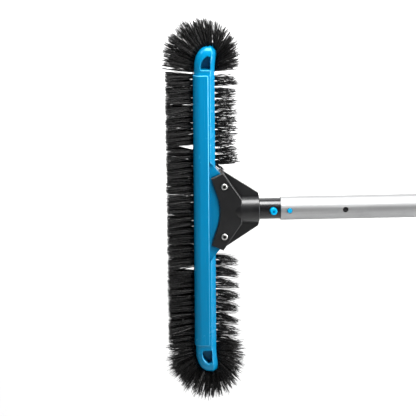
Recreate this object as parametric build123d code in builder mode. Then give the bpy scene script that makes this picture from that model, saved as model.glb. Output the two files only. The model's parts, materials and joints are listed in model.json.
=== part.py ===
from build123d import *
from math import atan2, cos, degrees, radians, sin, tan
import os

# Pool wall brush on one section of aluminium pole, in millimetres.
# +X runs along the pole, away from the brush. +Z runs along the brush bar. The bar's two wide
# faces look along -Y ("near") and +Y ("far"). The origin is on the pole's axis, at the centre
# of the lock holes next to the pole's open end. Front means the -X side, which meets the wall.

# ---- pole, stub and socket ------------------------------------------------------------------
pole_radius = 31.75 / 2
pole_wall = 1.25
pole_length = 508.0
lock_hole_radius = 3.85
lock_hole_inset = 12.0  # pole end to its first lock hole
lock_hole_pitch = 76.2  # first lock hole to the second
stub_radius = 14.3
stub_wall = 2.3
stub_shown = 29.0  # bare stub between the socket and the pole
stub_in_pole = 105.0
stub_in_socket = 24.0
edge_break = 0.4

pole_far_x = lock_hole_inset
pole_near_x = pole_far_x - pole_length
near_lock_x = pole_near_x + lock_hole_inset
socket_end_x = pole_near_x - stub_shown
stub_start_x = socket_end_x - stub_in_socket
stub_end_x = pole_near_x + stub_in_pole

# ---- brush bar ------------------------------------------------------------------------------
bar_to_socket_end = 74.0  # bar's centre line to the socket's mouth
bar_x = socket_end_x - bar_to_socket_end
bar_half_length = 228.0
bar_half_width = 14.25  # along X
bar_half_depth = 16.0  # along Y
ridge_inset = 6.75  # back chamfer, measured along X
back_half_depth = 8.5
front_corner_radius = 8.4
ridge_radius = 3.0
straight_half = 189.0  # the bar is straight up to here, and curves beyond it
mid_web_half = 2.0
cavity_x = (-7.0, 2.0)
cavity_half_length = 183.0
rib_pitch = 61.0
rib_half = 1.2
rib_count = 5
window_flat_z = 196.0
window_top_z = 214.0
window_front_x = -5.0
window_back_x = 8.2
window_curve = [(-2.6, 209.4), (4.0, 215.6)]  # the curved side's middle and upper end
window_corner_radius = 1.3
window_draft = 5.0
window_mouth = 17.0  # the pocket's outline is drawn a little outside the bar's face
window_lip = 1.9  # depth of the flare at the pocket's mouth, from its drawn outline inwards
window_flare = 45.0

# ---- covers ---------------------------------------------------------------------------------
cover_proud = 1.0
cover_thickness = 2.0
cover_edge_x = 5.25
cover_front_depth = 7.2  # the wrap stops here, so that the tufts have the middle of the front
cover_corner_radius = 2.6
cover_rim_radius = 1.2
cover_gap = 0.1

# ---- lug and bracket ------------------------------------------------------------------------
lug_half_depth = 11.8
lug_root_x = cover_edge_x + 0.3
lug_root_half = 70.6
lug_back_x = 36.0
lug_back_half = 34.0
bolt_x = 26.0
bolt_half_spacing = 35.0
bolt_hole_radius = 2.75
bracket_half_depth = 15.8
bracket_gap = 0.2
slot_overrun = 8.0  # the slot between the cheeks runs on this far past the lug's root
arm_front = (8.3, 46.6)
arm_back = (24.5, 54.3)
plate_neck = (50.0, 16.6)
throat_x = 24.4  # where the straight front edges of the arms would meet
throat_radius = 69.0
web_half_depth = 3.0
web_outer = (72.8, 22.6)
web_mouth_half = 17.4
plate_edge_break = 0.9
socket_edge_break = 0.9
socket_radius = 18.4
shoulder_root_x = 41.0  # a cone swells from the plate here
socket_root_x = 48.5  # and becomes the round socket here
counterbore_radius = 5.7
counterbore_depth = 1.8

# ---- bolts, washers and nuts, M5 ------------------------------------------------------------
bolt_radius = 2.5
head_radius = 4.4
head_height = 3.1
hex_key_radius = 2.4
hex_key_depth = 2.9
washer_radius = 5.0
washer_thickness = 1.0
nut_corner_radius = 8.0 / 2 / cos(radians(30))
nut_height = 5.0
bolt_tail = 0.9
head_crown = 1.6

# ---- spring clip ----------------------------------------------------------------------------
clip_lever = 62.0  # lock pin to the clip's bend, along X
clip_half_gap = 1.0
clip_angle = 6.0
leaf_thickness = 1.0
leaf_width = 9.0
leaf_length = 90.0
leaf_start = 0.7
pin_radius = 3.3
pin_tip = 16.6  # distance from the pole's axis
pin_dome = 0.9
pin_hole_share = 0.8  # the share of a pin's height at which it stands centred in its holes
button_hole_share = 0.5  # and the same for a button
button_to_lock = 22.4
button_radius = 4.7
button_tip = 20.4
button_hole_radius = 5.7
button_dimple_radius = 1.7
button_dimple_depth = 1.3

# ---- bristles -------------------------------------------------------------------------------
tuft_pitch = 8.5
front_rows = {"near": -5.5, "middle": 0.0, "far": 5.5}
back_rows = {"near": -4.0, "far": 4.0}
row_root_half = 1.6
collar = 1.5  # a row keeps its root width this far out of the bar
front_length_top = 37.2
front_length_bottom = 34.8
back_length = 32.2
tip_half_depth = 21.0
middle_tip_half = 6.8
row_gap = 0.4
row_half_length = 187.0
back_row_start = 61.5
fan_start = 191.5
fan_gap = 0.5
fan_shoulder_z = 205.0
fan_half_width = 51.5
fan_centre_x = -4.0
fan_top_z = 264.0
front_tufts = 44
back_tufts = 15
anchor_size = (3.0, 2.4, 0.6)  # into the bar, along Y, along Z
anchor_depth = 4.2  # the bar's surface to an anchor's middle
end_anchor_centre = (3.0, 204.0)

FACES = {"near": -1, "far": 1}

# Looking at the bar from its near side: local x is measured from the bar's centre, local y is Z.
bar_side = Plane(origin=(bar_x, 0, 0), x_dir=(1, 0, 0), z_dir=(0, -1, 0))


def bar_across(z):
    """The plane that cuts the bar across at height z."""
    return Plane(origin=(bar_x, 0, z))


def save(piece, label):
    """Names a finished piece and writes it."""
    piece.part.label = label
    export_step(piece.part, f"parts/{label}.step")


def mirrored_points(points):
    """A half outline, followed by its reflection in the pole's axis."""
    return points + [(x, -z) for x, z in reversed(points)]


# ---- brush bar ------------------------------------------------------------------------------


def bar_section(z, front, back, half_depth, corner):
    """Cross-section of the bar: round front corners, and a chamfer behind each wide face."""
    ridge_x = back - ridge_inset * half_depth / bar_half_depth
    back_depth = back_half_depth * half_depth / bar_half_depth
    ridge_round = ridge_radius * half_depth / bar_half_depth
    with BuildSketch(bar_across(z)) as section:
        with BuildLine():
            Polyline(
                (front, -half_depth),
                (ridge_x, -half_depth),
                (back, -back_depth),
                (back, back_depth),
                (ridge_x, half_depth),
                (front, half_depth),
                close=True,
            )
        make_face()
        corners = section.vertices().sort_by(Axis.X)
        fillet(corners[:2], corner)
        fillet(section.vertices().sort_by(Axis.X)[4:], ridge_round)
    return section.sketch


# One end of the bar as heights with the front, the back, the half depth and the corner radius.
end_shape = [
    (straight_half, -bar_half_width, bar_half_width, bar_half_depth, front_corner_radius),
    (200.0, -13.6, 14.5, bar_half_depth, front_corner_radius),
    (210.0, -12.2, 15.6, bar_half_depth, front_corner_radius),
    (217.0, -9.6, 16.4, 15.4, 8.0),
    (222.0, -6.4, 16.1, 13.8, 7.2),
    (225.7, -2.4, 14.5, 10.8, 5.4),
    (bar_half_length, 3.2, 10.8, 6.2, 2.6),
]


def window_face(plane, grown):
    """D-shaped window beside the bar's tip, on the given side plane, grown all round."""
    with BuildSketch(plane) as window:
        with BuildLine():
            flat = Line((window_back_x, window_flat_z), (window_front_x, window_flat_z))
            curve = ThreePointArc(flat @ 1, *window_curve)
            top = Line(curve @ 1, (window_back_x, window_top_z))
            Line(top @ 1, flat @ 0)
        make_face()
        fillet(window.vertices(), window_corner_radius)
        if grown:
            offset(amount=grown)
    return window.sketch


def make_bar_end():
    """The curved upper end of the bar, with a window pocket in each wide face."""
    with BuildPart() as end:
        for row in end_shape:
            add(bar_section(*row))
        loft()
        for side in FACES.values():
            mouth = bar_side.offset(-side * window_mouth)
            pocket = (0, window_mouth - mid_web_half, window_draft)
            flare = (window_lip, window_lip, window_flare)
            for grown, depth, draft in (pocket, flare):
                window = window_face(mouth, grown)
                extrude(window, amount=side * depth, taper=draft, mode=Mode.SUBTRACT)
    return end.part


def cover_section(z, inset):
    """Cross-section of the near cover. Its inner side and its ends grow by inset."""
    outer_y = bar_half_depth + cover_proud
    inner_y = outer_y - cover_thickness - inset
    outer_x = bar_half_width + cover_proud
    inner_x = outer_x - cover_thickness - inset
    outer_round = front_corner_radius + cover_proud
    inner_round = outer_round - cover_thickness
    wrap_y = cover_front_depth - inset
    edge_x = cover_edge_x + inset
    with BuildSketch(bar_across(z)) as section:
        with BuildLine():
            face = Line((edge_x, -outer_y), (outer_round - outer_x, -outer_y))
            bend = TangentArc(face @ 1, (-outer_x, outer_round - outer_y), tangent=face % 1)
            wrap = Line(bend @ 1, (-outer_x, -wrap_y))
            lip = Line(wrap @ 1, (-inner_x, -wrap_y))
            back = Line(lip @ 1, (-inner_x, inner_round - inner_y))
            turn = TangentArc(back @ 1, (inner_round - inner_x, -inner_y), tangent=back % 1)
            floor = Line(turn @ 1, (edge_x, -inner_y))
            Line(floor @ 1, face @ 0)
        make_face()
    return section.sketch


def make_near_cover(inset):
    """The near cover, or with an inset the recess that it drops into."""
    half_length = straight_half + inset
    with BuildPart() as cover:
        add(cover_section(-half_length, inset))
        extrude(amount=2 * half_length)
        corners = cover.edges().filter_by(Axis.Y).group_by(Axis.X)[-1]
        fillet(corners, cover_corner_radius)
        if not inset:
            # every edge of the flat face but the one where it runs on into the front bend
            rim = cover.faces().filter_by(Axis.Y).sort_by(Axis.Y)[0].edges()
            fillet(rim.sort_by(Axis.X)[1:], cover_rim_radius)
    return cover


def make_bar_body():
    """Bar moulding: two rails and a middle web, the curved ends with their windows, the lug."""
    bar_end = make_bar_end()
    near_recess = make_near_cover(cover_gap).part
    with BuildPart() as bar:
        add(bar_section(-straight_half, *end_shape[0][1:]))
        extrude(amount=2 * straight_half)
        add(bar_end)
        mirror(bar_end, about=Plane.XY)
        with BuildSketch(bar_side) as lug:
            with BuildLine():
                corners = [(lug_root_x, lug_root_half), (lug_back_x, lug_back_half)]
                Polyline(*mirrored_points(corners), close=True)
            make_face()
        extrude(amount=lug_half_depth, both=True)
        # the lug's flat sides run across the chamfers, up to the covers' edges
        for side in FACES.values():
            with BuildSketch(bar_side.offset(-side * lug_half_depth)):
                add(lug.sketch_local)
            extrude(amount=-side * bar_half_depth, mode=Mode.SUBTRACT)
        with Locations(bar_side):
            with Locations((bolt_x, bolt_half_spacing), (bolt_x, -bolt_half_spacing)):
                Cylinder(bolt_hole_radius, 4 * lug_half_depth, mode=Mode.SUBTRACT)
        # side cavities, with ribs left standing across them
        with BuildSketch(bar_side) as cavities:
            with Locations((sum(cavity_x) / 2, 0)):
                Rectangle(cavity_x[1] - cavity_x[0], 2 * cavity_half_length)
            with GridLocations(1, rib_pitch, 1, rib_count):
                Rectangle(4 * bar_half_width, 2 * rib_half, mode=Mode.SUBTRACT)
        for side in FACES.values():
            with BuildSketch(bar_side.offset(-side * mid_web_half)):
                add(cavities.sketch_local)
            extrude(amount=-side * bar_half_depth, mode=Mode.SUBTRACT)
        add(near_recess, mode=Mode.SUBTRACT)
        mirror(near_recess, about=Plane.XZ, mode=Mode.SUBTRACT)
    return bar


def make_covers():
    """The two raised covers, which wrap round the bar's front corners."""
    near_cover = make_near_cover(0)
    save(near_cover, "near_cover")
    with BuildPart() as far_cover:
        mirror(near_cover.part, about=Plane.XZ)
    save(far_cover, "far_cover")


# ---- bristles -------------------------------------------------------------------------------


def row_profile(direction, length, roots, tips):
    """Half of a row's cross-section data: a narrow collar at the bar, then a flare to the tips."""
    root_x = direction * bar_half_width
    collar_x = direction * (bar_half_width + collar)
    tip_x = direction * (bar_half_width + length)
    return [
        (root_x, roots[0]),
        (root_x, roots[1]),
        (collar_x, roots[1]),
        (tip_x, tips[1]),
        (tip_x, tips[0]),
        (collar_x, roots[0]),
    ]


def row_tips(place, middle_half):
    """Depth range of a row's tips: outer rows flare outwards on both sides of a middle row."""
    if place == "middle":
        return (-middle_half, middle_half)
    if place == "near":
        return (-tip_half_depth, -middle_half - row_gap)
    return (middle_half + row_gap, tip_half_depth)


def make_front_rows():
    """Three rows on the bar's front, trimmed a little shorter towards the lower end."""
    top_tip_x = -bar_half_width - front_length_top
    bottom_tip_x = -bar_half_width - front_length_bottom
    for place, centre in front_rows.items():
        roots = (centre - row_root_half, centre + row_root_half)
        points = row_profile(-1, front_length_top, roots, row_tips(place, middle_tip_half))
        with BuildPart() as row:
            with BuildSketch(bar_across(-row_half_length)):
                with BuildLine():
                    Polyline(*points, close=True)
                make_face()
            extrude(amount=2 * row_half_length)
            with BuildSketch(bar_side):
                with BuildLine():
                    Polyline(
                        (top_tip_x, row_half_length),
                        (bottom_tip_x, -row_half_length),
                        (top_tip_x, -row_half_length),
                        close=True,
                    )
                make_face()
            extrude(amount=2 * tip_half_depth, both=True, mode=Mode.SUBTRACT)
        save(row, f"front_bristles_{place}")


def make_back_rows():
    """Two rows on the bar's back, above the lug and below it."""
    for place, centre in back_rows.items():
        roots = (centre - row_root_half, centre + row_root_half)
        points = row_profile(1, back_length, roots, row_tips(place, 0))
        for level, start in {"upper": back_row_start, "lower": -row_half_length}.items():
            with BuildPart() as row:
                with BuildSketch(bar_across(start)):
                    with BuildLine():
                        Polyline(*points, close=True)
                    make_face()
                extrude(amount=row_half_length - back_row_start)
            save(row, f"{level}_back_bristles_{place}")


def fan_face():
    """Side view of the upper fan: a round outer edge, and the bar's end cut out of it."""
    left = fan_centre_x - fan_half_width
    right = fan_centre_x + fan_half_width
    with BuildSketch(bar_side) as fan:
        with BuildLine():
            start = Line((left, fan_start), (left, fan_shoulder_z))
            arc = ThreePointArc(start @ 1, (fan_centre_x, fan_top_z), (right, fan_shoulder_z))
            end = Line(arc @ 1, (right, fan_start))
            Line(end @ 1, start @ 0)
        make_face()
        with BuildSketch(mode=Mode.PRIVATE) as bar_end:
            with BuildLine():
                front = [(row[1], row[0]) for row in end_shape]
                back = [(row[2], row[0]) for row in reversed(end_shape)]
                edge = Polyline(*front, *back)
                Line(edge @ 1, edge @ 0)
            make_face()
            offset(amount=fan_gap)
        add(bar_end.sketch, mode=Mode.SUBTRACT)
    return fan.sketch


def make_fans():
    """Three rows of tufts round each end of the bar."""
    face = fan_face()
    for place in front_rows:
        low, high = row_tips(place, middle_tip_half)
        with BuildPart() as top_fan:
            extrude(face, amount=high - low)
        top_fan.part.position = (0, high, 0)
        save(top_fan, f"top_fan_{place}")
        with BuildPart() as bottom_fan:
            mirror(top_fan.part, about=Plane.XY)
        save(bottom_fan, f"bottom_fan_{place}")


def anchor_node(label, places):
    """One node of flat wire anchors, at the given places along the bar."""
    with BuildPart() as anchors:
        with Locations(*places):
            Box(*anchor_size)
    save(anchors, label)


def make_anchors():
    """The wire anchors that hold the folded tufts down in the bar, one under each tuft."""
    rail_x = bar_half_width - anchor_depth
    front_heights = [(i - (front_tufts - 1) / 2) * tuft_pitch for i in range(front_tufts)]
    back_heights = [back_row_start + (i + 0.5) * tuft_pitch for i in range(back_tufts)]
    anchor_node(
        "front_anchors",
        [Location((bar_x - rail_x, y, z)) for y in front_rows.values() for z in front_heights],
    )
    anchor_node(
        "back_anchors",
        [
            Location((bar_x + rail_x, y, level * z))
            for y in back_rows.values()
            for z in back_heights
            for level in (-1, 1)
        ],
    )
    end_places = []
    for row in end_shape[1:]:
        for edge_x in (row[1], row[2]):
            out = Vector(edge_x - end_anchor_centre[0], row[0] - end_anchor_centre[1], 0)
            middle = out * (1 - anchor_depth / out.length)
            x = bar_x + end_anchor_centre[0] + middle.X
            z = end_anchor_centre[1] + middle.Y
            lean = degrees(atan2(middle.Y, middle.X))
            for y in front_rows.values():
                end_places.append(Location((x, y, z), (0, -lean, 0)))
                end_places.append(Location((x, y, -z), (0, lean, 0)))
    anchor_node("end_anchors", end_places)


# ---- bracket and its fasteners --------------------------------------------------------------


def lug_pocket(plane):
    """The slot between the bracket's cheeks: the lug's outline with a little room round it."""
    with BuildSketch(plane) as pocket:
        with BuildLine():
            corners = [(0, lug_root_half + slot_overrun), (lug_root_x, lug_root_half)]
            corners.append((lug_back_x, lug_back_half))
            Polyline(*mirrored_points(corners), close=True)
        make_face()
        offset(amount=bracket_gap, kind=Kind.INTERSECTION)
    return pocket.sketch


def bolt_holes(radius):
    """Both bolt holes, right through, cut from the part being built."""
    with Locations(bar_side):
        with Locations((bolt_x, bolt_half_spacing), (bolt_x, -bolt_half_spacing)):
            Cylinder(radius, 4 * bracket_half_depth, mode=Mode.SUBTRACT)


def make_bracket():
    """Forked bracket: two cheeks round the lug, gusset webs, and the socket for the stub."""
    with BuildPart() as bracket:
        with BuildSketch(bar_side) as plate:
            with BuildLine():
                outline = [arm_front, arm_back, plate_neck]
                Polyline(*mirrored_points(outline), (throat_x, 0), close=True)
            make_face()
            throat = plate.vertices().filter_by_position(Axis.Y, -1, 1)
            fillet(throat, throat_radius)
        extrude(amount=bracket_half_depth, both=True)
        rims = bracket.faces().filter_by(Axis.Y).edges()
        chamfer(rims, plate_edge_break)
        with BuildSketch(Plane(origin=(bar_x + shoulder_root_x, 0, 0), z_dir=(1, 0, 0))):
            Circle(bracket_half_depth)
        with BuildSketch(Plane(origin=(bar_x + socket_root_x, 0, 0), z_dir=(1, 0, 0))):
            Circle(socket_radius)
        loft()
        with BuildSketch(Plane(origin=(bar_x + socket_root_x, 0, 0), z_dir=(1, 0, 0))):
            Circle(socket_radius)
        extrude(amount=bar_to_socket_end - socket_root_x)
        ends = bracket.edges().filter_by(GeomType.CIRCLE).sort_by(Axis.X)
        chamfer(ends[-1], socket_edge_break)
        with BuildSketch(bar_side):
            with BuildLine():
                Polyline(
                    *mirrored_points([arm_back, web_outer, (bar_to_socket_end, web_mouth_half)]),
                    close=True,
                )
            make_face()
        extrude(amount=web_half_depth, both=True)
        with BuildSketch(Plane(origin=(socket_end_x, 0, 0), z_dir=(-1, 0, 0))):
            Circle(stub_radius)
        extrude(amount=stub_in_socket, mode=Mode.SUBTRACT)
        slot_half_depth = lug_half_depth + bracket_gap
        slot = lug_pocket(bar_side.offset(-slot_half_depth))
        extrude(slot, amount=2 * slot_half_depth, mode=Mode.SUBTRACT)
        bolt_holes(bolt_hole_radius)
        with Locations(bar_side.offset(bracket_half_depth)):
            with Locations((bolt_x, bolt_half_spacing), (bolt_x, -bolt_half_spacing)):
                Cylinder(counterbore_radius, 2 * counterbore_depth, mode=Mode.SUBTRACT)
    return bracket


def make_fasteners():
    """Two button-head bolts from the near side, with washers and nuts on the far side."""
    spots = [(bolt_x, bolt_half_spacing), (bolt_x, -bolt_half_spacing)]
    under_head = bracket_half_depth - counterbore_depth
    nut_face = bracket_half_depth + washer_thickness
    bolt_length = under_head + nut_face + nut_height + bolt_tail
    with BuildPart() as bolts:
        with BuildSketch(bar_side.offset(under_head)):
            with Locations(*spots):
                Circle(bolt_radius)
        extrude(amount=-bolt_length)
        with BuildSketch(bar_side.offset(under_head)):
            with Locations(*spots):
                Circle(head_radius)
        extrude(amount=head_height)
        crowns = bolts.faces().sort_by(Axis.Y)[:2].edges()
        fillet(crowns, head_crown)
        with BuildSketch(bar_side.offset(under_head + head_height)):
            with Locations(*spots):
                RegularPolygon(hex_key_radius, 6)
        extrude(amount=-hex_key_depth, mode=Mode.SUBTRACT)
    save(bolts, "clamp_bolts")
    with BuildPart() as washers:
        with BuildSketch(bar_side.offset(-bracket_half_depth)):
            with Locations(*spots):
                Circle(washer_radius)
                Circle(bolt_radius, mode=Mode.SUBTRACT)
        extrude(amount=-washer_thickness)
    save(washers, "bolt_washers")
    with BuildPart() as nuts:
        with BuildSketch(bar_side.offset(-nut_face)):
            with Locations(*spots):
                RegularPolygon(nut_corner_radius, 6)
                Circle(bolt_radius, mode=Mode.SUBTRACT)
        extrude(amount=-nut_height)
    save(nuts, "lock_nuts")


# ---- stub and pole --------------------------------------------------------------------------


def make_tube(start_x, end_x, radius, wall, holes):
    """A tube along X with cross holes through both walls, given as (x, radius) pairs."""
    with BuildPart() as tube:
        with BuildSketch(Plane(origin=(start_x, 0, 0), z_dir=(1, 0, 0))):
            Circle(radius)
            Circle(radius - wall, mode=Mode.SUBTRACT)
        extrude(amount=end_x - start_x)
        rims = tube.edges().filter_by(GeomType.CIRCLE)
        chamfer(rims, edge_break)
        for hole_x, hole_radius in holes:
            with Locations(Plane(origin=(hole_x, 0, 0), z_dir=(0, 1, 0))):
                Cylinder(hole_radius, 4 * radius, mode=Mode.SUBTRACT)
    return tube


def make_stub():
    """Stub tube fixed in the socket, with holes for the lock pins and the release buttons."""
    button_x = near_lock_x - button_to_lock
    holes = [(near_lock_x, lock_hole_radius), (button_x, button_hole_radius)]
    return make_tube(stub_start_x, stub_end_x, stub_radius, stub_wall, holes)


def make_pole():
    """One pole section, drilled with two lock holes near each end."""
    spots = [near_lock_x, near_lock_x + lock_hole_pitch, -lock_hole_pitch, 0]
    holes = [(x, lock_hole_radius) for x in spots]
    return make_tube(pole_near_x, pole_far_x, pole_radius, pole_wall, holes)


# ---- spring clip ----------------------------------------------------------------------------


def make_clip():
    """V-shaped spring clip in the stub: a bend, and on each side a leaf, a pin and a button."""
    bend_x = near_lock_x + clip_lever
    with BuildPart() as bend:
        with BuildSketch(Plane.XY.offset(-leaf_width / 2)):
            with Locations((bend_x, 0)):
                Circle(clip_half_gap + leaf_thickness / 2)
                Circle(clip_half_gap - leaf_thickness / 2, mode=Mode.SUBTRACT)
                Rectangle(
                    4 * clip_half_gap,
                    4 * clip_half_gap,
                    align=(Align.MAX, Align.CENTER),
                    mode=Mode.SUBTRACT,
                )
        extrude(amount=leaf_width)
    save(bend, "clip_bend")

    # on the near leaf, local x runs from the bend to the buttons and local z points outwards
    tilt = radians(clip_angle)
    leaf = Plane(
        origin=(bend_x, -clip_half_gap, 0),
        x_dir=(-cos(tilt), -sin(tilt), 0),
        z_dir=(sin(tilt), -cos(tilt), 0),
    )
    pin_reach = (pin_tip - clip_half_gap - clip_lever * tan(tilt)) * cos(tilt)
    pin_s = (clip_lever + pin_reach * pin_hole_share * sin(tilt)) / cos(tilt)
    button_lever = clip_lever + button_to_lock
    button_reach = (button_tip - clip_half_gap - button_lever * tan(tilt)) * cos(tilt)
    button_s = (button_lever + button_reach * button_hole_share * sin(tilt)) / cos(tilt)

    with BuildPart() as near_leaf:
        with BuildSketch(leaf.offset(-leaf_thickness / 2)) as strip:
            with Locations((leaf_start, 0)):
                Rectangle(leaf_length, leaf_width, align=(Align.MIN, Align.CENTER))
            fillet(strip.vertices(), leaf_thickness)
        extrude(amount=leaf_thickness)
    with BuildPart() as near_pin:
        with BuildSketch(leaf.offset(leaf_thickness / 2)):
            with Locations((pin_s, 0)):
                Circle(pin_radius)
        extrude(amount=pin_reach - leaf_thickness / 2)
        fillet(near_pin.edges().sort_by(Axis.Y)[0], pin_dome)
    with BuildPart() as near_button:
        with BuildSketch(leaf.offset(leaf_thickness / 2)):
            with Locations((button_s, 0)):
                Circle(button_radius)
        extrude(amount=button_reach - leaf_thickness / 2)
        fillet(near_button.edges().sort_by(Axis.Y)[0], pin_dome)
        with BuildSketch(leaf.offset(button_reach)):
            with Locations((button_s, 0)):
                Circle(button_dimple_radius)
        extrude(amount=-button_dimple_depth, mode=Mode.SUBTRACT)
    pieces = {"clip_leaf": near_leaf, "lock_pin": near_pin, "release_button": near_button}
    for label, near_piece in pieces.items():
        save(near_piece, f"{label}_near")
        with BuildPart() as far_piece:
            mirror(near_piece.part, about=Plane.XZ)
        save(far_piece, f"{label}_far")


# ---- the whole brush ------------------------------------------------------------------------

os.makedirs("parts", exist_ok=True)
save(make_bar_body(), "bar_body")
make_covers()
make_front_rows()
make_back_rows()
make_fans()
make_anchors()
save(make_bracket(), "bracket")
make_fasteners()
save(make_stub(), "stub_tube")
save(make_pole(), "pole_tube")
make_clip()
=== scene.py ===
import json
import math

import bpy
import numpy as np
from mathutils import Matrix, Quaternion, Vector


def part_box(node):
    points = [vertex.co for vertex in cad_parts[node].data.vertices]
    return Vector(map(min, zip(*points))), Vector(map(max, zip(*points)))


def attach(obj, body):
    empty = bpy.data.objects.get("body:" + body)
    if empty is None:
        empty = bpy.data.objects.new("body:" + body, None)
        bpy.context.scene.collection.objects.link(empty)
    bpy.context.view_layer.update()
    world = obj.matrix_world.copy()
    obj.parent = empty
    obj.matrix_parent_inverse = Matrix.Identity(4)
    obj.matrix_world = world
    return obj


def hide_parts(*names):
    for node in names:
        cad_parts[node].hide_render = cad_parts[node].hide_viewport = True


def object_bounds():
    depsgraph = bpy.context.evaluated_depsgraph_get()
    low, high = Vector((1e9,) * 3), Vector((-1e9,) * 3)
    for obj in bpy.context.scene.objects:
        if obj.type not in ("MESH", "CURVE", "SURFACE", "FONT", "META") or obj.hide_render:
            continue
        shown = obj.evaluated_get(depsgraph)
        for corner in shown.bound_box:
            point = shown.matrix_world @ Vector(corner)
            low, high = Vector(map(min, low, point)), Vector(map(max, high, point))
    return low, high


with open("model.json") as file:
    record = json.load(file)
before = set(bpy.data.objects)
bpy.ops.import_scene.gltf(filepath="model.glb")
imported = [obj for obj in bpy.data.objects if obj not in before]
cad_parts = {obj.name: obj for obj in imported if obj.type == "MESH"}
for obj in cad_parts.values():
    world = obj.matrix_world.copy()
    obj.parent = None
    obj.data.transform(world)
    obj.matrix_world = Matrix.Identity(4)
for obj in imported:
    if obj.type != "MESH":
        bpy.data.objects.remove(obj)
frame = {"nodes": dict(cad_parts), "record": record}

# Everything is in metres, in the CAD's frame: +X along the pole and away from the brush, +Z up
# along the bar, and the camera on the -Y side.
MM = 0.001
cad_low, cad_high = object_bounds()
random = np.random.RandomState(20)

# ---- places read from the CAD ------------------------------------------------------------------

front_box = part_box("front_bristles_middle")
back_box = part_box("upper_back_bristles_near")
cover_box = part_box("near_cover")
bolt_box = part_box("clamp_bolts")
bar_front_x = front_box[1].x
bar_back_x = back_box[0].x
bar_x = (bar_front_x + bar_back_x) / 2
row_top_z = front_box[1].z
cover_back_x, cover_top_z = cover_box[1].x, cover_box[1].z

# ---- materials ---------------------------------------------------------------------------------

# The sockets that a colour mix uses, which share their names with those for numbers.
MIX_FACTOR, MIX_FIRST, MIX_SECOND, MIX_RESULT = 0, 6, 7, 2


class Nodes:
    """Short names for building one material's node tree."""

    def __init__(self, name):
        self.material = bpy.data.materials.new(name)
        self.material.use_nodes = True
        self.tree = self.material.node_tree
        self.shader = self.tree.nodes["Principled BSDF"]
        coordinates = self.tree.nodes.new("ShaderNodeTexCoord")
        self.place = coordinates.outputs["Object"]

    def link(self, output, socket):
        self.tree.links.new(output, socket)

    def stretched(self, scale):
        """Places for a noise that is finer along one axis than along another."""
        mapping = self.tree.nodes.new("ShaderNodeMapping")
        mapping.inputs["Scale"].default_value = scale
        self.link(self.place, mapping.inputs["Vector"])
        return mapping.outputs["Vector"]

    def noise(self, scale=1.0, detail=2.0, rough=0.5, vector=None, distortion=0.0):
        node = self.tree.nodes.new("ShaderNodeTexNoise")
        node.inputs["Scale"].default_value = scale
        node.inputs["Detail"].default_value = detail
        node.inputs["Roughness"].default_value = rough
        node.inputs["Distortion"].default_value = distortion
        self.link(vector or self.place, node.inputs["Vector"])
        return node.outputs["Fac"]

    def range(self, value, low, high, new_low=0.0, new_high=1.0):
        """Maps low to high onto the new range, and stays in it."""
        node = self.tree.nodes.new("ShaderNodeMapRange")
        node.inputs["From Min"].default_value = low
        node.inputs["From Max"].default_value = high
        node.inputs["To Min"].default_value = new_low
        node.inputs["To Max"].default_value = new_high
        self.link(value, node.inputs["Value"])
        return node.outputs["Result"]

    def vary(self, noise, new_low=0.0, new_high=1.0):
        """Spreads a noise, which seldom leaves 0.3 to 0.7, over the new range."""
        return self.range(noise, 0.3, 0.7, new_low, new_high)

    def math(self, operation, a, b=0.0):
        node = self.tree.nodes.new("ShaderNodeMath")
        node.operation = operation
        for socket, value in zip(node.inputs, (a, b)):
            if isinstance(value, (int, float)):
                socket.default_value = value
            else:
                self.link(value, socket)
        return node.outputs["Value"]

    def mix(self, factor, a, b):
        """The colour a where the factor is 0, and b where it is 1."""
        node = self.tree.nodes.new("ShaderNodeMix")
        node.data_type = "RGBA"
        self.link(factor, node.inputs[MIX_FACTOR])
        for index, value in ((MIX_FIRST, a), (MIX_SECOND, b)):
            if isinstance(value, tuple):
                node.inputs[index].default_value = (*value, 1.0)
            else:
                self.link(value, node.inputs[index])
        return node.outputs[MIX_RESULT]

    def bump(self, height, strength, depth=0.02 * MM, below=None):
        """A relief of that depth, laid over the relief below it."""
        node = self.tree.nodes.new("ShaderNodeBump")
        node.inputs["Strength"].default_value = strength
        node.inputs["Distance"].default_value = depth
        self.link(height, node.inputs["Height"])
        if below:
            self.link(below, node.inputs["Normal"])
        return node.outputs["Normal"]

    def attribute(self, name):
        node = self.tree.nodes.new("ShaderNodeAttribute")
        node.attribute_name = name
        return node.outputs["Fac"]

    def openness(self, distance, samples=16):
        """1 on open faces, less in corners and seams."""
        node = self.tree.nodes.new("ShaderNodeAmbientOcclusion")
        node.samples = samples
        node.inputs["Distance"].default_value = distance
        return node.outputs["AO"]

    def axis(self, name):
        node = self.tree.nodes.new("ShaderNodeSeparateXYZ")
        self.link(self.place, node.inputs["Vector"])
        return node.outputs[name]

    def height(self):
        """How far above or below the bar's middle."""
        return self.math("ABSOLUTE", self.axis("Z"))

    def put(self, **values):
        """Sets or links the shader's sockets, named with underscores for spaces."""
        for name, value in values.items():
            socket = self.shader.inputs[name.replace("_", " ")]
            if isinstance(value, (int, float)):
                socket.default_value = value
            elif isinstance(value, tuple):
                socket.default_value = (*value, 1.0)
            else:
                self.link(value, socket)
        return self.material


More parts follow.
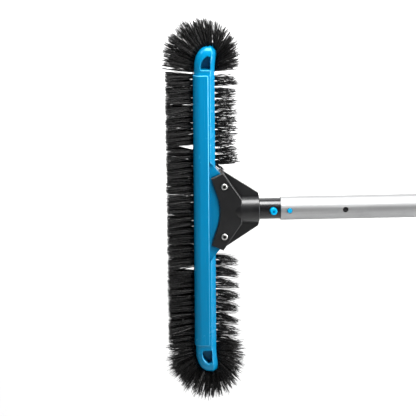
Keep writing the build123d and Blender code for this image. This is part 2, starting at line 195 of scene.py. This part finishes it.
def moulded_plastic(name, dark, light, roughness, specular, scratch_scale, marks=None):
    """Moulded plastic: faint flow marks in its colour, fine orange peel, hairline scratches.

    marks takes the material's nodes and that colour, and returns the colour with painted light laid
    on it.
    """
    n = Nodes(name)
    flow_places = n.stretched((55.0, 55.0, 9.0))
    flow = n.noise(detail=3.0, rough=0.55, vector=flow_places, distortion=0.6)
    colour = n.mix(n.vary(flow), dark, light)
    if marks:
        colour = marks(n, colour)
    hairs = n.noise(rough=0.6, vector=n.stretched(scratch_scale))
    scratched = n.range(hairs, 0.66, 0.72, 0.0, 0.12)
    haze = n.vary(n.noise(60.0, detail=4.0, rough=0.6), -0.03, 0.05)
    peel = n.bump(n.noise(900.0), strength=0.12)
    return n.put(
        Base_Color=colour,
        Roughness=n.math("ADD", n.math("ADD", scratched, haze), roughness),
        Normal=n.bump(hairs, strength=0.06, below=peel),
        Specular_IOR_Level=specular,
        Specular_Tint=(0.3, 0.82, 1.0),
    )


def pale_rim(n, colour):
    """Paler rims on the cover, which stand for the bright line that its rounded edges catch.

    They are painted in and don't move with the light. The back edge is palest at its upper part.
    """
    pale = (0.09, 0.47, 0.72)
    inner, outer = 1.5 * MM, 0.7 * MM  # the line starts and is full this far inside the edge
    end_inner = 1.4 * MM
    along_back = n.range(n.axis("X"), cover_back_x - inner, cover_back_x - outer)
    strength = n.range(n.axis("Z"), -80.0 * MM, 60.0 * MM, 0.12, 0.82)
    along_back = n.math("MULTIPLY", along_back, strength)
    across_ends = n.range(n.height(), cover_top_z - end_inner, cover_top_z - outer, 0.0, 0.35)
    return n.mix(n.math("MAXIMUM", along_back, across_ends), colour, pale)


def painted_lug_shade(n, colour):
    """Painted shade: darkens the lug in the corner close beside the bracket, where the bracket
    shades it.
    """
    # painted shade: this near-black blue is laid on where the lug is close to the bracket
    dark = (0.0, 0.006, 0.02)
    closeness = n.range(n.openness(5.5 * MM), 0.5, 0.82, 1.0, 0.0)
    beside_bracket = n.range(n.height(), 46.0 * MM, 54.0 * MM, 1.0, 0.0)
    on_lug = n.range(n.axis("X"), cover_back_x + 3.0 * MM, cover_back_x + 5.0 * MM)
    amount = n.math("MULTIPLY", closeness, n.math("MULTIPLY", beside_bracket, on_lug))
    return n.mix(amount, colour, dark)


def cover_plastic():
    return moulded_plastic(
        "blue_cover",
        dark=(0.0, 0.164, 0.342),
        light=(0.0, 0.182, 0.372),
        roughness=0.23,
        specular=0.5,
        scratch_scale=(900.0, 900.0, 12.0),
        marks=pale_rim,
    )


def bar_plastic():
    return moulded_plastic(
        "blue_plastic",
        dark=(0.0, 0.166, 0.345),
        light=(0.0, 0.186, 0.375),
        roughness=0.24,
        specular=0.55,
        scratch_scale=(900.0, 900.0, 14.0),
        marks=painted_lug_shade,
    )


def button_plastic():
    return moulded_plastic(
        "button_plastic",
        dark=(0.0, 0.29, 0.56),
        light=(0.0, 0.33, 0.61),
        roughness=0.30,
        specular=0.3,
        scratch_scale=(1200.0, 60.0, 1200.0),
    )


def clip_plastic():
    return moulded_plastic(
        "clip_plastic",
        dark=(0.0, 0.16, 0.34),
        light=(0.0, 0.18, 0.37),
        roughness=0.34,
        specular=0.3,
        scratch_scale=(1200.0, 60.0, 1200.0),
    )


def bracket_plastic():
    """Black glass-filled plastic: a fine spark texture, greyer where it has been rubbed."""
    black, dark_grey = (0.0045, 0.0045, 0.005), (0.0075, 0.0075, 0.0082)
    rubbed = (0.02, 0.02, 0.0215)
    n = Nodes("bracket_plastic")
    grain = n.noise(1500.0, detail=3.0, rough=0.65)
    cloud = n.noise(38.0, detail=4.0, rough=0.6)
    colour = n.mix(n.range(cloud, 0.35, 0.68), black, dark_grey)
    colour = n.mix(n.range(grain, 0.6, 0.75, 0.0, 0.35), colour, rubbed)
    waves = n.bump(n.noise(260.0), strength=0.10, depth=0.05 * MM)
    return n.put(
        Base_Color=colour,
        Roughness=n.vary(cloud, 0.30, 0.38),
        Normal=n.bump(grain, strength=0.25, depth=0.03 * MM, below=waves),
        Specular_IOR_Level=0.45,
    )


def stub_plastic():
    """Glossy black tube, with hairlines along it from sliding into the pole."""
    black, rubbed = (0.006, 0.006, 0.007), (0.02, 0.02, 0.022)
    n = Nodes("stub_plastic")
    hairs = n.noise(rough=0.6, vector=n.stretched((14.0, 1400.0, 1400.0)))
    return n.put(
        Base_Color=n.mix(n.range(hairs, 0.6, 0.75, 0.0, 0.6), black, rubbed),
        Roughness=n.range(hairs, 0.45, 0.75, 0.22, 0.40),
        Normal=n.bump(hairs, strength=0.12),
        Specular_IOR_Level=0.45,
    )


def pole_metal():
    """Drawn aluminium: fine lines along the pole, light rub marks, a faint cloudiness."""
    dark, light, cloudy = (0.34, 0.342, 0.345), (0.42, 0.422, 0.426), (0.30, 0.302, 0.305)
    n = Nodes("pole_aluminium")
    lines = n.noise(detail=3.0, rough=0.7, vector=n.stretched((5.0, 2600.0, 2600.0)))
    bands = n.noise(vector=n.stretched((9.0, 420.0, 420.0)))
    cloud = n.noise(45.0, detail=4.0, rough=0.6)
    colour = n.mix(n.vary(lines), dark, light)
    cloud_roughness = n.range(cloud, 0.5, 0.8, 0.0, 0.07)
    return n.put(
        Base_Color=n.mix(n.range(cloud, 0.55, 0.8, 0.0, 0.25), colour, cloudy),
        Roughness=n.math("ADD", n.vary(bands, 0.50, 0.59), cloud_roughness),
        Normal=n.bump(lines, strength=0.22, below=n.bump(bands, strength=0.08, depth=0.03 * MM)),
        Metallic=1.0,
        Specular_Tint=(0.5, 0.5, 0.5),
    )


def distance_from_bolt_axis(n):
    """Distance from the axis of the nearer of the two bolts, which both run along Y."""
    head_radius = (bolt_box[1].x - bolt_box[0].x) / 2
    from_x = n.math("SUBTRACT", n.axis("X"), bolt_box[0].x + head_radius)
    from_z = n.math("SUBTRACT", n.height(), bolt_box[1].z - head_radius)
    squares = n.math("ADD", n.math("POWER", from_x, 2.0), n.math("POWER", from_z, 2.0))
    return n.math("SQRT", squares)


def bolt_metal():
    """Stainless steel with fine turning marks, and painted shade that darkens the hexagon sockets.
    """
    steel, stained, painted_socket_shade = (0.62, 0.615, 0.60), (0.33, 0.325, 0.31), (0.11, 0.108, 0.105)
    n = Nodes("bolt_steel")
    # painted shade: the colour is darkened inside the hexagon sockets, where the recess lies in
    # shade
    in_socket = n.range(distance_from_bolt_axis(n), 2.15 * MM, 2.5 * MM, 1.0, 0.0)
    turning = n.noise(2200.0, detail=3.0, rough=0.6)
    stain = n.noise(420.0, detail=3.0, rough=0.6)
    colour = n.mix(n.range(stain, 0.55, 0.75, 0.0, 0.6), steel, stained)
    socket_roughness = n.math("MULTIPLY", in_socket, 0.3)
    return n.put(
        Base_Color=n.mix(in_socket, colour, painted_socket_shade),
        Roughness=n.math("ADD", n.vary(turning, 0.24, 0.42), socket_roughness),
        Normal=n.bump(turning, strength=0.2),
        Metallic=1.0,
    )


def anchor_metal():
    """Dull flat wire."""
    n = Nodes("anchor_wire")
    marks = n.noise(1800.0, detail=3.0, rough=0.6)
    return n.put(
        Base_Color=n.mix(n.vary(marks), (0.40, 0.395, 0.38), (0.55, 0.545, 0.53)),
        Roughness=n.vary(marks, 0.35, 0.55),
        Metallic=1.0,
    )


def bristle_nylon():
    """Black nylon filament: each one differs a little in shade, and the cut ends are greyer.

    Some filaments are rubbed grey in places, and a little dust lies on them all.
    """
    black, dark = (0.0032, 0.0032, 0.0034), (0.0105, 0.0103, 0.0103)
    rubbed, dusty, cut = (0.105, 0.103, 0.101), (0.05, 0.049, 0.048), (0.085, 0.083, 0.082)
    n = Nodes("bristle")
    shade = n.attribute("shade")
    along = n.attribute("along")
    speck = n.noise(700.0, rough=0.6)
    colour = n.mix(n.range(shade, 0.0, 0.7), black, dark)
    rub = n.math("MULTIPLY", n.range(shade, 0.7, 0.95), n.range(speck, 0.47, 0.60))
    colour = n.mix(rub, colour, rubbed)
    colour = n.mix(n.range(n.noise(480.0, rough=0.6), 0.60, 0.68, 0.0, 0.7), colour, dusty)
    colour = n.mix(n.range(along, 0.9, 1.0, 0.0, 0.4), colour, cut)
    return n.put(
        Base_Color=colour,
        Roughness=n.range(speck, 0.35, 0.7, 0.22, 0.45),
        Normal=n.bump(speck, strength=0.2),
        Specular_IOR_Level=0.24,
    )


MATERIALS = {
    "blue_plastic": bar_plastic(),
    "blue_cover": cover_plastic(),
    "bristle": bristle_nylon(),
    "anchor_wire": anchor_metal(),
    "bracket_plastic": bracket_plastic(),
    "bolt_steel": bolt_metal(),
    "stub_plastic": stub_plastic(),
    "pole_aluminium": pole_metal(),
    "button_plastic": button_plastic(),
    "clip_plastic": clip_plastic(),
}

# Every CAD piece gets its material. The bristle pieces are replaced further down.
for part in frame["record"]["subparts"]:
    node = frame["nodes"][part["node"]]
    node.data.materials.clear()
    node.data.materials.append(MATERIALS[part["material_slot"]])

# ---- filaments -----------------------------------------------------------------------------------

filament_sides = 3
filament_radius = 0.36 * MM
radius_range = (0.85, 1.12)  # a filament's own share of that radius
steps = np.array([0.0, 0.25, 0.5, 0.75, 0.93, 1.0])  # where a filament's rings stand along it
taper = np.array([1.0, 1.0, 0.97, 0.9, 0.78, 0.5])  # the share of its radius at each ring


def unit(vectors):
    return vectors / np.linalg.norm(vectors, axis=-1, keepdims=True)


def filament_points(roots, bends, tips, radii):
    """The vertices of all filaments: rings round a quadratic curve from each root to its tip."""
    t = steps[None, :, None]
    line = (1 - t) ** 2 * roots[:, None] + 2 * t * (1 - t) * bends[:, None] + t**2 * tips[:, None]
    along = unit(tips - roots)
    runs_along_y = np.abs(along[:, 1:2]) >= 0.8
    helper = np.where(runs_along_y, (1.0, 0.0, 0.0), (0.0, 1.0, 0.0))  # never along the filament
    across = unit(np.cross(along, helper))
    other = np.cross(along, across)
    turn = random.uniform(0, 2 * math.pi, (len(roots), 1))
    angles = turn + np.arange(filament_sides) * 2 * math.pi / filament_sides
    ring = np.cos(angles)[..., None] * across[:, None] + np.sin(angles)[..., None] * other[:, None]
    width = radii[:, None] * taper[None, :]
    vertices = line[:, :, None] + ring[:, None] * width[:, :, None, None]
    return vertices.reshape(-1, 3)


def filament_faces(count):
    """The faces of all filaments: quads between the rings, and a cap on each end."""
    rings = len(steps)
    sides = np.arange(filament_sides)
    first = np.arange(count)[:, None] * rings * filament_sides
    ring = first[:, :, None] + np.arange(rings - 1)[None, :, None] * filament_sides
    here = ring + sides
    beside = ring + (sides + 1) % filament_sides
    quads = np.stack([here, beside, beside + filament_sides, here + filament_sides], axis=-1)
    bottoms = first + sides[::-1]
    tops = first + (rings - 1) * filament_sides + sides
    return quads.reshape(-1, 4).tolist() + bottoms.tolist() + tops.tolist()


def filament_mesh(name, roots, bends, tips, radii, shades):
    """One mesh of thin tapered filaments, with each one's shade and the way along it."""
    points = filament_points(roots, bends, tips, radii)
    mesh = bpy.data.meshes.new(name)
    mesh.from_pydata(points.tolist(), [], filament_faces(len(roots)))
    mesh.polygons.foreach_set("use_smooth", [True] * len(mesh.polygons))
    per_point = {
        "shade": np.repeat(shades, len(steps) * filament_sides),
        "along": np.tile(np.repeat(steps, filament_sides), len(roots)),
    }
    for attribute_name, values in per_point.items():
        attribute = mesh.attributes.new(attribute_name, "FLOAT", "POINT")
        attribute.data.foreach_set("value", values.astype(np.float32))
    mesh.materials.append(MATERIALS["bristle"])
    return mesh


# ---- tufts ---------------------------------------------------------------------------------------

root_radius = 2.7 * MM
root_sink = 1.2 * MM  # how far a tuft starts below the bar's surface
tip_slack = 3.0 * MM  # a tip may pass the CAD's box by this much
# Shares of a tuft's spread: how far out the tip goes whose root is at the tuft's edge, and how
# much every tip strays from its place.
outward_share, random_share = 1.35, 0.42
# At a filament's middle: the share it has of its tip's way out, and the share of its root's
# offset by which it draws in.
middle_share, gather_share = 0.46, 0.25
# A filament's shade, from 0 black to 1 grey: the mean, and the scatter in a tuft and between tufts.
shade_mean, shade_scatter, tuft_shade_scatter = 0.38, 0.27, 0.1


class Tufts:
    """Collects tufts, then makes them one piece that stands for CAD nodes."""

    def __init__(self):
        self.roots, self.bends, self.tips, self.radii, self.shades = [], [], [], [], []

    def add(self, root, tip, count, spread, trim, wave, short, sag=0.0):
        """One tuft of count filaments.

        spread is how far its tips scatter, in the brush's plane and across it, and trim is how
        unevenly they are cut. wave scatters the filaments' middles, and short is the most that a
        few filaments lack. sag moves all the middles along Z, so that the tuft curves.
        """
        root, tip = np.array(root), np.array(tip)
        way = unit(tip - root)
        aside = unit(np.cross(way, (0.0, 1.0, 0.0)))
        over = np.cross(aside, way)
        angle = random.uniform(0, 2 * math.pi, count)
        place = np.sqrt(random.uniform(0, 1, count))
        u, v = np.cos(angle) * place, np.sin(angle) * place
        offset = root_radius * (u[:, None] * aside + v[:, None] * over)
        starts = root - way * root_sink + offset
        out_u = spread[0] * (outward_share * u + random.normal(0, random_share, count))
        out_v = spread[1] * (outward_share * v + random.normal(0, random_share, count))
        out = out_u[:, None] * aside + out_v[:, None] * over
        cut = random.normal(0, trim, count) - short * random.uniform(0, 1, count) ** 3
        ends = tip + way * cut[:, None] + out
        half_way = way * np.linalg.norm(tip - root) / 2
        middles = starts + half_way + middle_share * out - gather_share * offset
        middles = middles + random.normal(0, wave, (count, 1)) * aside
        middles = middles + random.normal(0, wave, (count, 1)) * over + (0.0, 0.0, sag)
        self.roots.append(starts)
        self.bends.append(middles)
        self.tips.append(ends)
        self.radii.append(filament_radius * random.uniform(*radius_range, count))
        own_shades = random.normal(shade_mean, shade_scatter, count)
        self.shades.append(np.clip(own_shades + random.normal(0, tuft_shade_scatter), 0, 1))

    def piece(self, name, *nodes):
        low, high = np.array(cad_low) - tip_slack, np.array(cad_high) + tip_slack
        mesh = filament_mesh(
            name,
            np.concatenate(self.roots),
            np.concatenate(self.bends),
            np.clip(np.concatenate(self.tips), low, high),
            np.concatenate(self.radii),
            np.concatenate(self.shades),
        )
        made = bpy.data.objects.new(name, mesh)
        bpy.context.scene.collection.objects.link(made)
        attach(made, "brush")
        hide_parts(*nodes)


# ---- front rows ----------------------------------------------------------------------------------

# Each row's root and tip Y. The fans round the bar's ends have the same three rows.
front_rows = {
    "near": (-5.5 * MM, -13.2 * MM),
    "middle": (0.0, 0.0),
    "far": (5.5 * MM, 13.2 * MM),
}
front_tufts = 45
front_filaments = 38
front_pitch = 8.5 * MM
front_drop = 1.55 * MM  # the front rows stand a little nearer the lower end
front_reach_top = 52.2 * MM  # from the bar's middle to the tips, at the rows' upper end
front_reach_bottom = 50.0 * MM  # and at their lower end
# Each wide gap's height, and how far it pushes the roots beside it away.
wide_gaps = ((87.7 * MM, 6.4 * MM), (-82.3 * MM, 5.2 * MM))
gap_fade = 5.0 * MM  # how soon that push dies out along the row
gap_lean = 0.2  # the share of a root's shift that its tip keeps


def push_from_gaps(z):
    """How far the wide gaps push a root at this height along Z."""
    total = 0.0
    for gap_z, push in wide_gaps:
        away = z - gap_z
        total += math.copysign(push, away) * math.exp(-abs(away) / gap_fade)
    return total


def front_rows_of_tufts():
    """The three rows share their leans, so that notches stay open between the tips."""
    leans = random.normal(0, 1.1 * MM, front_tufts)
    heights = (np.arange(front_tufts) - (front_tufts - 1) / 2) * front_pitch - front_drop
    for place, (root_y, tip_y) in front_rows.items():
        row = Tufts()
        for shared_lean, z in zip(leans, heights):
            share = 0.5 + 0.5 * z / row_top_z
            reach = front_reach_bottom + (front_reach_top - front_reach_bottom) * share
            shift = random.normal(0, 0.3 * MM) + push_from_gaps(z)
            lean = shared_lean + random.normal(0, 0.3 * MM) + gap_lean * shift
            row.add(
                (bar_front_x, root_y, z + shift),
                (bar_x - reach + random.normal(0, 0.4 * MM), tip_y, z + lean),
                count=front_filaments,
                spread=(3.2 * MM, 3.9 * MM),
                trim=0.7 * MM,
                wave=0.5 * MM,
                short=5.0 * MM,
            )
        row.piece(f"front_bristles_{place}_tufts", f"front_bristles_{place}")


# ---- back rows -----------------------------------------------------------------------------------

back_rows = {"near": (-4.0 * MM, -11.0 * MM), "far": (4.0 * MM, 11.0 * MM)}  # root and tip Y
back_tufts = 15
back_filaments = 20
back_pitch = 125.5 * MM / back_tufts
back_reach = 44.4 * MM  # from the bar's middle to the tips
pushed_up = 5.0 * MM  # the lean of the lowest tuft above the bracket
sag_share = 0.35  # a leaning tuft's middle hangs back by this share of its lean


def add_strays(row, y):
    """A few stray filaments hang down behind the bracket's upper arm."""
    row.add(
        (bar_back_x, y, 63.0 * MM),
        (bar_x + 25.0 * MM, y, 55.0 * MM),
        count=9,
        spread=(3.0 * MM, 3.0 * MM),
        trim=2.0 * MM,
        wave=0.8 * MM,
        short=3.0 * MM,
    )


def back_rows_of_tufts(level, first, pairing, spread, droop):
    """Both rows of one level, above or below the bracket, which share their leans.

    first is the number of the lowest tuft, where 0 is the CAD row's own lowest one. pairing is
    how far the tufts of each pair lean together, and droop is how far they all hang down.
    """
    leans = {}
    for i in range(-1, back_tufts):
        towards_pair = pairing if i % 2 else -pairing
        leans[i] = random.normal(0, 0.7 * MM) + towards_pair - droop
    if level == "upper":
        leans[0] = pushed_up
    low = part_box(f"{level}_back_bristles_near")[0].z
    for place, (root_y, tip_y) in back_rows.items():
        row = Tufts()
        for i in range(first, back_tufts):
            z = low + (i + 0.5) * back_pitch
            lean = leans[i] + random.normal(0, 0.4 * MM)
            if place == "far":  # its tips then line up with the near row's, seen from above
                lean -= droop
            row.add(
                (bar_back_x, root_y, z),
                (bar_x + back_reach + random.normal(-0.5 * MM, 1.6 * MM), tip_y, z + lean),
                count=back_filaments,
                spread=(spread, 5.0 * MM),
                trim=2.2 * MM,
                wave=1.2 * MM,
                short=12.0 * MM,
                sag=-sag_share * lean,
            )
        if level == "upper":
            add_strays(row, root_y)
        row.piece(f"{level}_back_bristles_{place}_tufts", f"{level}_back_bristles_{place}")


# ---- fans round the bar's two ends ---------------------------------------------------------------

# The bar's end, from its front round the tip to its back: X from the bar's middle, and Z.
end_outline = MM * np.array(
    [(-14.2, 193), (-13.6, 200), (-12.2, 210), (-9.6, 217), (-6.4, 222), (-2.4, 225.7), (3.2, 228),
     (10.8, 228), (14.5, 225.7), (16.1, 222), (16.4, 217), (15.6, 210), (14.5, 200), (14.2, 193)]
)
end_margin = 0.02  # the first and the last tuft stand this share of the outline inside its ends
fan_tufts = 21
fan_filaments = 25
thin_filaments = 18  # where the upper fan is thinner
thin_from, thin_to = 20, 75  # between these angles
fan_centre_z = 212.5 * MM
fan_reach = 51.0 * MM


def fan_root(i):
    """The X and Z of a tuft's root on the bar's end."""
    share = end_margin + (1 - 2 * end_margin) * i / (fan_tufts - 1)
    leg = np.linalg.norm(np.diff(end_outline, axis=0), axis=1)
    walked = np.concatenate([[0], np.cumsum(leg)]) / leg.sum()
    return [np.interp(share, walked, end_outline[:, axis]) for axis in (0, 1)]


def fan_tip(degrees, centre_x, reach):
    """A point on the fan's outer edge: round above, straight down its two sides."""
    angle = math.radians(degrees)
    if math.sin(angle) < 0:
        reach = reach / abs(math.cos(angle))
    return centre_x + reach * math.cos(angle), fan_centre_z + reach * math.sin(angle)


def near_angle(degrees, middle, width):
    """1 at the middle angle, and less the further away from it."""
    return math.exp(-(((degrees - middle) / width) ** 2))


def even_reach(degrees):
    """The upper fan is evenly round."""
    return fan_reach


def worn_reach(degrees):
    """The lower fan is worn shorter on its front shoulder and stands longer at its tip."""
    wear = 1.0 * MM + 5.0 * MM * near_angle(degrees, 140, 18)
    return fan_reach - wear + 4.0 * MM * near_angle(degrees, 75, 25)


def fan_of_tufts(end, sign, centre_x, dip, spread, reach_at):
    """The three rows of tufts round one end. sign is 1 for the upper end and -1 for the lower.

    Angles run from 0 at the back, through 90 at the tip, to 180 in front, and the fan goes dip
    degrees past both. reach_at gives its reach at an angle.
    """
    step = (180 + 2 * dip) / (fan_tufts - 1)
    angles = [180 + dip - step * i + random.normal(0, 1.4) for i in range(fan_tufts)]
    for place, (root_y, tip_y) in front_rows.items():
        fan = Tufts()
        for i, degrees in enumerate(angles):
            root_x, root_z = fan_root(i)
            reach = reach_at(degrees) + random.normal(0, 0.8 * MM)
            tip_x, tip_z = fan_tip(degrees, centre_x, reach)
            thin = end == "top" and thin_from < degrees < thin_to
            fan.add(
                (bar_x + root_x, root_y, sign * root_z),
                (bar_x + tip_x, tip_y, sign * tip_z),
                count=thin_filaments if thin else fan_filaments,
                spread=(spread, 4.2 * MM),
                trim=2.4 * MM,
                wave=0.5 * MM,
                short=18.0 * MM,
            )
        fan.piece(f"{end}_fan_{place}_tufts", f"{end}_fan_{place}")


front_rows_of_tufts()
back_rows_of_tufts("upper", first=0, pairing=0.5 * MM, spread=3.3 * MM, droop=0.0)
back_rows_of_tufts("lower", first=-1, pairing=3.3 * MM, spread=2.1 * MM, droop=3.0 * MM)
fan_of_tufts("top", 1, centre_x=-4.0 * MM, dip=13, spread=4.4 * MM, reach_at=even_reach)
fan_of_tufts("bottom", -1, centre_x=0.0, dip=19, spread=3.0 * MM, reach_at=worn_reach)

# ---- floor, light and camera ---------------------------------------------------------------------

floor_radius = 14.0
floor_sides = 64
floor_drop = 0.35  # the floor lies this far below the object
floor_grey = (0.62, 0.62, 0.62)
# The world is dim in front and bright behind: the Y of a direction, and the strength there.
world_dim, world_bright = (-0.35, 0.04), (0.7, 1.15)


def make_floor():
    level = cad_low.z - floor_drop
    turns = np.linspace(0, 2 * math.pi, floor_sides, endpoint=False)
    ring = [(floor_radius * math.cos(a), floor_radius * math.sin(a), level) for a in turns]
    mesh = bpy.data.meshes.new("floor")
    mesh.from_pydata(ring, [], [tuple(range(floor_sides))])
    material = Nodes("floor").put(Base_Color=floor_grey, Roughness=0.9, Specular_IOR_Level=0.1)
    mesh.materials.append(material)
    floor = bpy.data.objects.new("floor", mesh)
    bpy.context.scene.collection.objects.link(floor)


def make_light(name, place, aim, size, power, spread=180):
    """An area light. place and aim count from the bar's middle, and spread is in degrees."""
    bar_middle = Vector((bar_x, 0.0, 0.0))
    data = bpy.data.lights.new(name, "AREA")
    data.shape = "RECTANGLE"
    data.size, data.size_y = size
    data.energy = power
    data.spread = math.radians(spread)
    lamp = bpy.data.objects.new(name, data)
    lamp.location = bar_middle + Vector(place)
    lamp.rotation_mode = "QUATERNION"
    lamp.rotation_quaternion = (Vector(aim) - Vector(place)).to_track_quat("-Z", "Y")
    bpy.context.scene.collection.objects.link(lamp)


def make_lights():
    """Key near the upper end, lamps overhead, a tall strip on the right, a lit floor behind."""
    make_light("key", (0.40, -0.45, 0.70), (0.0, 0.0, 0.12), (0.36, 0.36), 5.0)
    make_light("left_lamp", (-0.55, -0.30, 1.0), (0.0, 0.0, 0.05), (0.4, 0.4), 4.0)
    make_light("socket_lamp", (0.08, -0.20, 0.9), (0.08, 0.0, 0.0), (0.35, 0.50), 15.5)
    make_light("pole_lamp", (0.85, -0.15, 1.5), (0.75, 0.0, 0.0), (1.3, 0.5), 1.4)
    make_light("right_strip", (1.65, -0.42, 0.21), (0.0, 0.0, 0.0), (0.16, 1.5), 41.0)
    make_light("floor_lamp", (0.3, 5.4, 2.4), (0.3, 5.4, 0.0), (8.0, 6.0), 485.0, spread=118)


def make_world():
    world = bpy.data.worlds.new("studio")
    world.use_nodes = True
    tree = world.node_tree
    background = tree.nodes["Background"]
    background.inputs["Color"].default_value = (1.0, 1.0, 1.0, 1.0)
    facing = tree.nodes.new("ShaderNodeTexCoord")
    split = tree.nodes.new("ShaderNodeSeparateXYZ")
    ramp = tree.nodes.new("ShaderNodeMapRange")
    tree.links.new(facing.outputs["Generated"], split.inputs["Vector"])
    tree.links.new(split.outputs["Y"], ramp.inputs["Value"])
    ramp.inputs["From Min"].default_value, ramp.inputs["To Min"].default_value = world_dim
    ramp.inputs["From Max"].default_value, ramp.inputs["To Max"].default_value = world_bright
    tree.links.new(ramp.outputs["Result"], background.inputs["Strength"])
    bpy.context.scene.world = world


def make_camera():
    """The camera stands a little to the brush's side and above it, far off with a long lens."""
    azimuth, elevation, roll = math.radians(-3.0), math.radians(14.0), math.radians(-0.4)
    distance = 4.0
    level = math.cos(elevation)
    back = Vector((math.sin(azimuth) * level, -math.cos(azimuth) * level, math.sin(elevation)))
    right = Vector((math.cos(azimuth), math.sin(azimuth), 0.0))
    up = back.cross(right)
    target = Vector((cover_back_x - 0.75 * MM, 0.0, 0.0)) + up * 2.2 * MM
    data = bpy.data.cameras.new("camera")
    data.sensor_width = 36.0
    data.lens = 254.2
    data.clip_start, data.clip_end = 0.1, 60.0
    camera = bpy.data.objects.new("camera", data)
    camera.location = target + back * distance
    camera.rotation_mode = "QUATERNION"
    rolled = Quaternion((0.0, 0.0, 1.0), roll)
    camera.rotation_quaternion = (-back).to_track_quat("-Z", "Y") @ rolled
    bpy.context.scene.collection.objects.link(camera)
    bpy.context.scene.camera = camera


make_floor()
make_lights()
make_world()
make_camera()
bpy.context.scene.view_settings.view_transform = "Standard"
